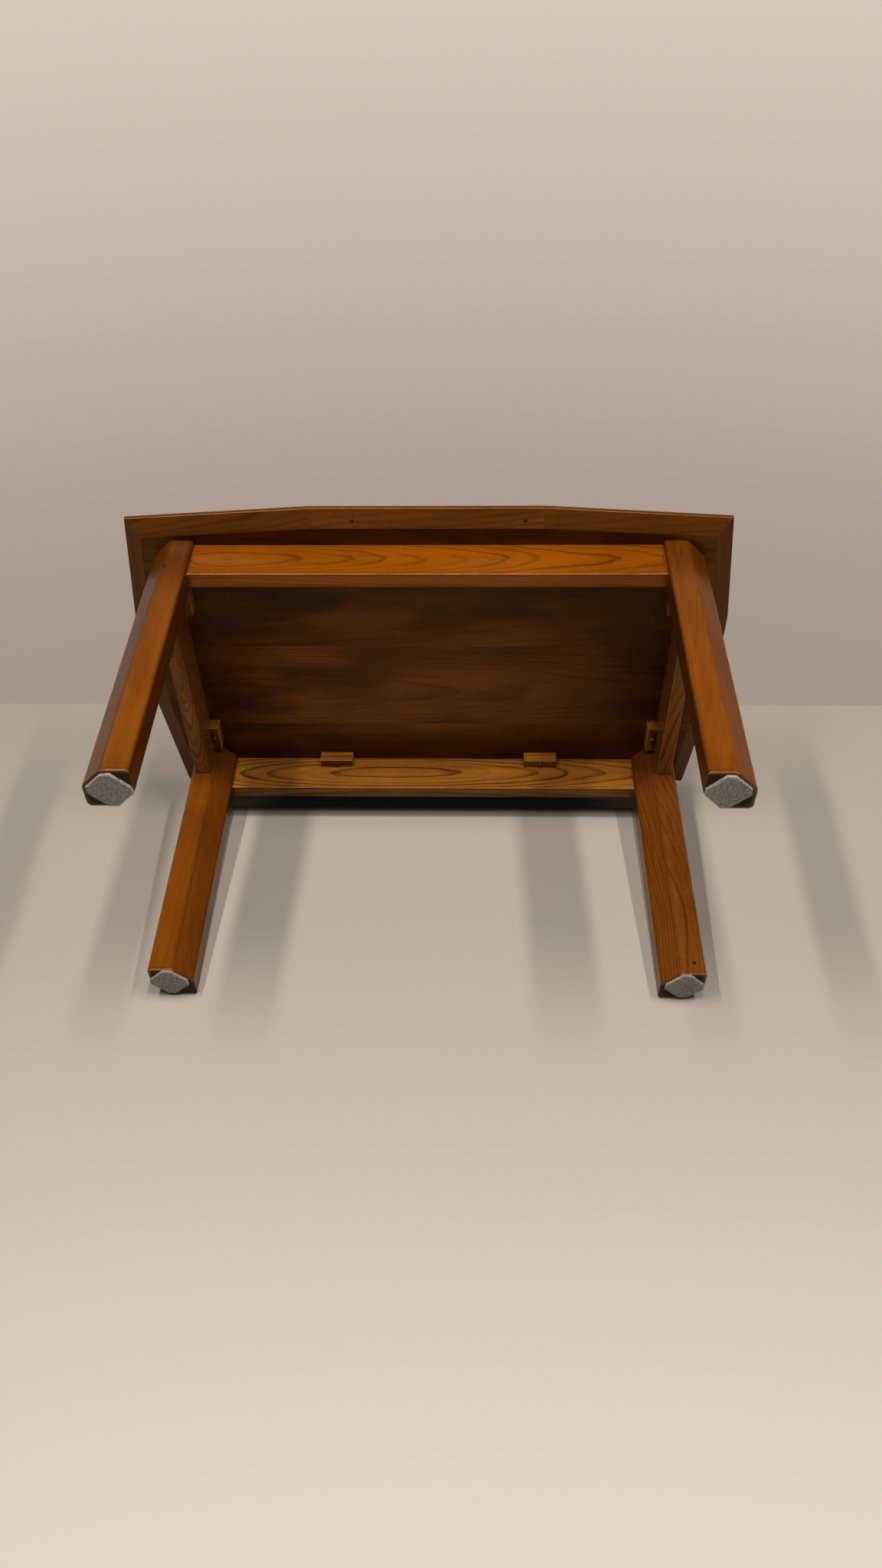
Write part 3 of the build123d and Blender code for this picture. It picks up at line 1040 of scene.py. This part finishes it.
def make_pad(name, seed, tree):
    """A felt pad with a soft rim, an uneven underside and loose fibres."""
    node = f"felt_pad_{name}"
    low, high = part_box(node)
    centre = (low + high) / 2
    outline = pad_outline(random.Random(seed))
    mesh = bmesh.new()
    rim_layer = mesh.verts.layers.float.new("rim")
    rings = []
    for share, height in PAD_RIM + [(share, 0.0) for share in PAD_INNER_SHARES]:
        ring = []
        for point in outline:
            spot = Vector((point.x * share, point.y * share, height))
            lift = noise.noise(spot * LIFT_CELLS + Vector((seed, 0, 0)))
            fray = noise.noise(spot * FRAY_CELLS + Vector((0, seed, 0)))
            spot.x *= 1 + FRAY * fray
            spot.y *= 1 + FRAY * fray
            if height < PAD_RIM[0][1]:
                spot.z = max(0.0, height + LIFT / 2 + LIFT * lift)
            vert = mesh.verts.new((centre.x + spot.x, centre.y + spot.y, spot.z))
            vert[rim_layer] = 1.0 if share > 0.95 else 0.0
            ring.append(vert)
        rings.append(ring)
    for upper, lower in zip(rings, rings[1:]):
        for k in range(len(outline)):
            after = (k + 1) % len(outline)
            mesh.faces.new((upper[k], lower[k], lower[after], upper[after]))
    mesh.faces.new(rings[0])
    mesh.faces.new(list(reversed(rings[-1])))
    base = finished_mesh(f"{node}_body", mesh)
    data = grown(f"{node}_felt", base, tree, {**FUZZ_SIZES, "Seed": seed})
    pad = add_piece(f"{node}_felt", data, node, [])


# ==== build ====
for leg_name in LEG_SIDES:
    make_leg(leg_name)

# each rail: its axis, the way that is deep in its log, the log, and the finish
make_rail("long_rail_front", X, -Y, (0.255, 0.0, 0.0168, 1.0), lacquer_orange, underside_stain_and_shade=0.12)
make_rail("long_rail_back", X, -Y, (0.09, 0.0, -0.0031, 1.2), lacquer_tan, underside_stain_and_shade=0.52)
make_rail("short_rail_left", Y, -Z, (0.15, 0.003, -0.0255, 1.3), lacquer_side, rubbed_and_highlit=0.6)
make_rail("short_rail_right", Y, -Z, (0.40, 0.012, 0.031, 0.5), lacquer_side)

for order, (rail, (axis, hands)) in enumerate(FIXINGS.items()):
    for hand_order, hand in enumerate(hands):
        log_along = 0.4 + 0.3 * order + 0.17 * hand_order
        block_log = (log_along, 0.02 - 0.03 * hand_order, 0.03 + 0.01 * order, 1.0)
        make_block(f"block_{rail}_rail_{hand}", axis, block_log)

for border_index, border_name in enumerate(BORDER_NAMES):
    make_border(border_index, border_name)

for board_number, board_log in enumerate(BOARD_LOGS, start=1):
    make_board(f"top_board_{board_number}", board_log)

make_screws()
fuzz = fuzz_tree()
for pad_seed, pad_name in enumerate(LEG_SIDES, start=PAD_SEED):
    make_pad(pad_name, pad_seed, fuzz)


# ==== stage ====
# The table lies on its back edge: its resting floor is a plane that leans on the top's back edge
# and the back feet, and a second floor under the feet serves the views of the table standing up.
REST_NORMAL = Vector((0.0, -0.99466, 0.10316))
REST_POINT = Vector((0.0, 0.2104, 0.0))
WALL_HEIGHT = 0.622        # where the resting floor ends, above the feet
FAR = 5.0
FLOOR_BACK = 3.2           # how far the standing floor reaches behind the table
FLOOR_DROP = -0.0006       # the standing floor lies this far under the feet
FLOOR_ALBEDO = (0.525, 0.472, 0.415)

# painted shadow in the crack under the leaning top's edge, a painted penumbra beside it and a
# tinted painted dark in it: heights between which each shade comes or goes, and how far from the
# middle it fades
EDGE_LEVEL = (0.418, 0.421)
OUTER_DUSK = (0.3405, 0.347)
INNER_DUSK = (0.354, 0.358)
DUSK_ENDS = (0.27, 0.40)
CRACK_SHADE_LEVEL = (0.362, 0.367)
CRACK_SHADE_ENDS = (0.30, 0.34)
GLOOM_ENDS = (0.22, 0.30)


def painted_crack_shade(tree, colour):
    """A floor's colour with painted shadow: a penumbra, and a tinted dark in the crack under the
    leaning edge.
    """
    x, _, z = tree.split(tree.place())
    beside = abs(x)
    below_edge = z.fall(*EDGE_LEVEL)
    dusk = (0.6 * z.rise(*OUTER_DUSK) + 0.25 * z.rise(*INNER_DUSK)) * beside.fall(*DUSK_ENDS)
    crack_shade = z.rise(*CRACK_SHADE_LEVEL) * beside.fall(*CRACK_SHADE_ENDS)
    gloom = tree.mix(beside.rise(*GLOOM_ENDS), rgb(0.16, 0.42, 0.75), rgb(0.70, 0.95, 0.95))
    colour = tree.mix(dusk * below_edge, colour, rgb(0.03, 0.03, 0.028))
    return tree.mix(crack_shade * below_edge, colour, gloom)


def stage_finish(name, shade):
    """A matt floor finish that is seen from its front only. shade may paint shadow into its colour.
    """
    material, tree = new_material(name)
    colour = rgb(*FLOOR_ALBEDO)
    if shade:
        colour = shade(tree, colour)
    matt = tree.add("ShaderNodeBsdfDiffuse", None, {"Color": colour, "Roughness": 0.6})
    clear = tree.add("ShaderNodeBsdfTransparent")
    behind = tree.add("ShaderNodeNewGeometry", output="Backfacing")
    surface = tree.add("ShaderNodeMixShader", None, {0: behind, 1: matt, 2: clear})
    tree.add("ShaderNodeOutputMaterial", None, {"Surface": surface})
    return material


def stage_plane(name, near, far, bounces, shade=None):
    """A wide plane between two edges, each (y, z), that catches shadows and casts none.

    It lights the table only if it bounces.
    """
    data = bpy.data.meshes.new(name)
    corners = [(-FAR, *near), (FAR, *near), (FAR, *far), (-FAR, *far)]
    data.from_pydata(corners, [], [range(4)])
    data.materials.append(stage_finish(name, shade))
    plane = new_object(name, data)
    plane.visible_diffuse = bounces
    plane.visible_glossy = bounces
    plane.visible_transmission = False
    plane.visible_shadow = False


def rest_floor_y(z):
    """Where the resting floor stands at a height."""
    return REST_POINT.y + REST_NORMAL.z / -REST_NORMAL.y * z


stage_plane("resting_floor", (rest_floor_y(-FAR), -FAR), (rest_floor_y(WALL_HEIGHT), WALL_HEIGHT),
            bounces=True, shade=painted_crack_shade)
stage_plane("standing_floor", (-FAR, FLOOR_DROP), (FLOOR_BACK, FLOOR_DROP), bounces=False)

# ---- the room ----
ROOM_LIGHT = (1.0, 0.88, 0.77)
DIM_GLOW = 0.02
WALL_GLOW = 0.225
FLOOR_GLOW = 0.12


def make_world():
    """The room: a pale wall past the end of the resting floor, painted lighter higher up for the
    camera, and dimmer space elsewhere.
    """
    world = bpy.data.worlds.new("studio_room")
    bpy.context.scene.world = world
    world.use_nodes = True
    tree = Tree(world.node_tree)
    across, side, up = tree.split(tree.add("ShaderNodeTexCoord", output="Generated"))
    lifted = REST_NORMAL.y * side + REST_NORMAL.z * up
    # what the camera sees of the room is painted light: a wall painted lighter the higher it lies
    # above the resting floor, and, below about thirty degrees up, the tone of the lit floor
    wall = tree.mix(lifted.rise(-0.58, -0.02), rgb(0.375, 0.305, 0.25), rgb(0.70, 0.585, 0.50))
    seen = tree.mix(up.rise(0.5, 0.62), rgb(0.45, 0.366, 0.305), wall)
    from_wall = up.rise(0.25, 0.6) * lifted.fall(0.66, 0.74) * (1.0 - 0.65 * across.rise(0.3, 0.6))
    from_floor = lifted.fall(-0.3, -0.05)
    glow = DIM_GLOW + WALL_GLOW * from_wall + FLOOR_GLOW * from_floor
    to_camera = tree.add("ShaderNodeLightPath", output="Is Camera Ray")
    colour = tree.mix(to_camera, tree.scaled(ROOM_LIGHT, glow), seen)
    backdrop = tree.add("ShaderNodeBackground", None, {"Color": colour, "Strength": 1.0})
    tree.add("ShaderNodeOutputWorld", None, {"Surface": backdrop})


# ---- lamps ----
CEILING = 2.305            # height of these lamps above the resting floor
CEILING_LAMPS = {          # x and z of the floor below, size, power, and if it makes highlights
    "ceiling_lamp_left": (-0.775, -0.29, (0.09, 1.15), 25.2, True),
    "ceiling_lamp_middle": (0.132, -0.29, (0.09, 1.15), 18.4, True),
    "ceiling_lamp_right": (1.022, -0.29, (0.09, 1.15), 24.6, False),
    "near_panel": (0.1, -1.2, (2.4, 0.3), 11.2, True),
}
WARM = (1.0, 0.95, 0.88)
COOL = (0.95, 1.0, 1.05)


def add_lamp(name, place, aim, size, power, shines):
    """A warm panel of light, hidden from the camera. One that doesn't shine makes no highlights."""
    data = bpy.data.lights.new(name, "AREA")
    data.shape = "RECTANGLE"
    data.size, data.size_y = size
    data.energy = power
    data.color = WARM
    lamp = new_object(name, data)
    lamp.location = place
    lamp.rotation_euler = (aim - place).to_track_quat("-Z", "Y").to_euler()
    lamp.visible_camera = False
    lamp.visible_glossy = shines


make_world()
for lamp_name, (lamp_x, lamp_z, size, power, shines) in CEILING_LAMPS.items():
    below = Vector((lamp_x, rest_floor_y(lamp_z), lamp_z))
    add_lamp(lamp_name, below + REST_NORMAL * CEILING, below, size, power, shines)
near_panel = bpy.data.lights["near_panel"]
near_panel.spread = math.radians(60)
near_panel.color = COOL
add_lamp("top_softbox", Vector((0.0, 0.95, 2.2)), Vector((0.0, 0.0, 0.3)), (1.6, 0.7), 30.0, False)
add_lamp("back_softbox", Vector((-0.9, 1.3, 1.7)), Vector((0.0, 0.2, 0.2)), (1.6, 0.5), 4.0, False)

# ==== camera ====
CAMERA_PLACE = Vector((0.0540, -1.0673, -0.8130))
CAMERA_FORWARD = Vector((-0.02437, 0.73129, 0.68163))
CAMERA_UP = Vector((-0.00390, -0.68190, 0.73144))
SENSOR_WIDTH = 36.0        # millimetres, as is the lens
LENS = 26.49

camera_data = bpy.data.cameras.new("camera")
camera_data.sensor_width = SENSOR_WIDTH
camera_data.lens = LENS
camera = new_object("camera", camera_data)
camera_right = CAMERA_FORWARD.cross(CAMERA_UP)
turn = Matrix((camera_right, CAMERA_UP, -CAMERA_FORWARD)).transposed()
camera.matrix_world = Matrix.Translation(CAMERA_PLACE) @ turn.to_4x4()
bpy.context.scene.camera = camera
bpy.context.scene.view_settings.view_transform = "Standard"
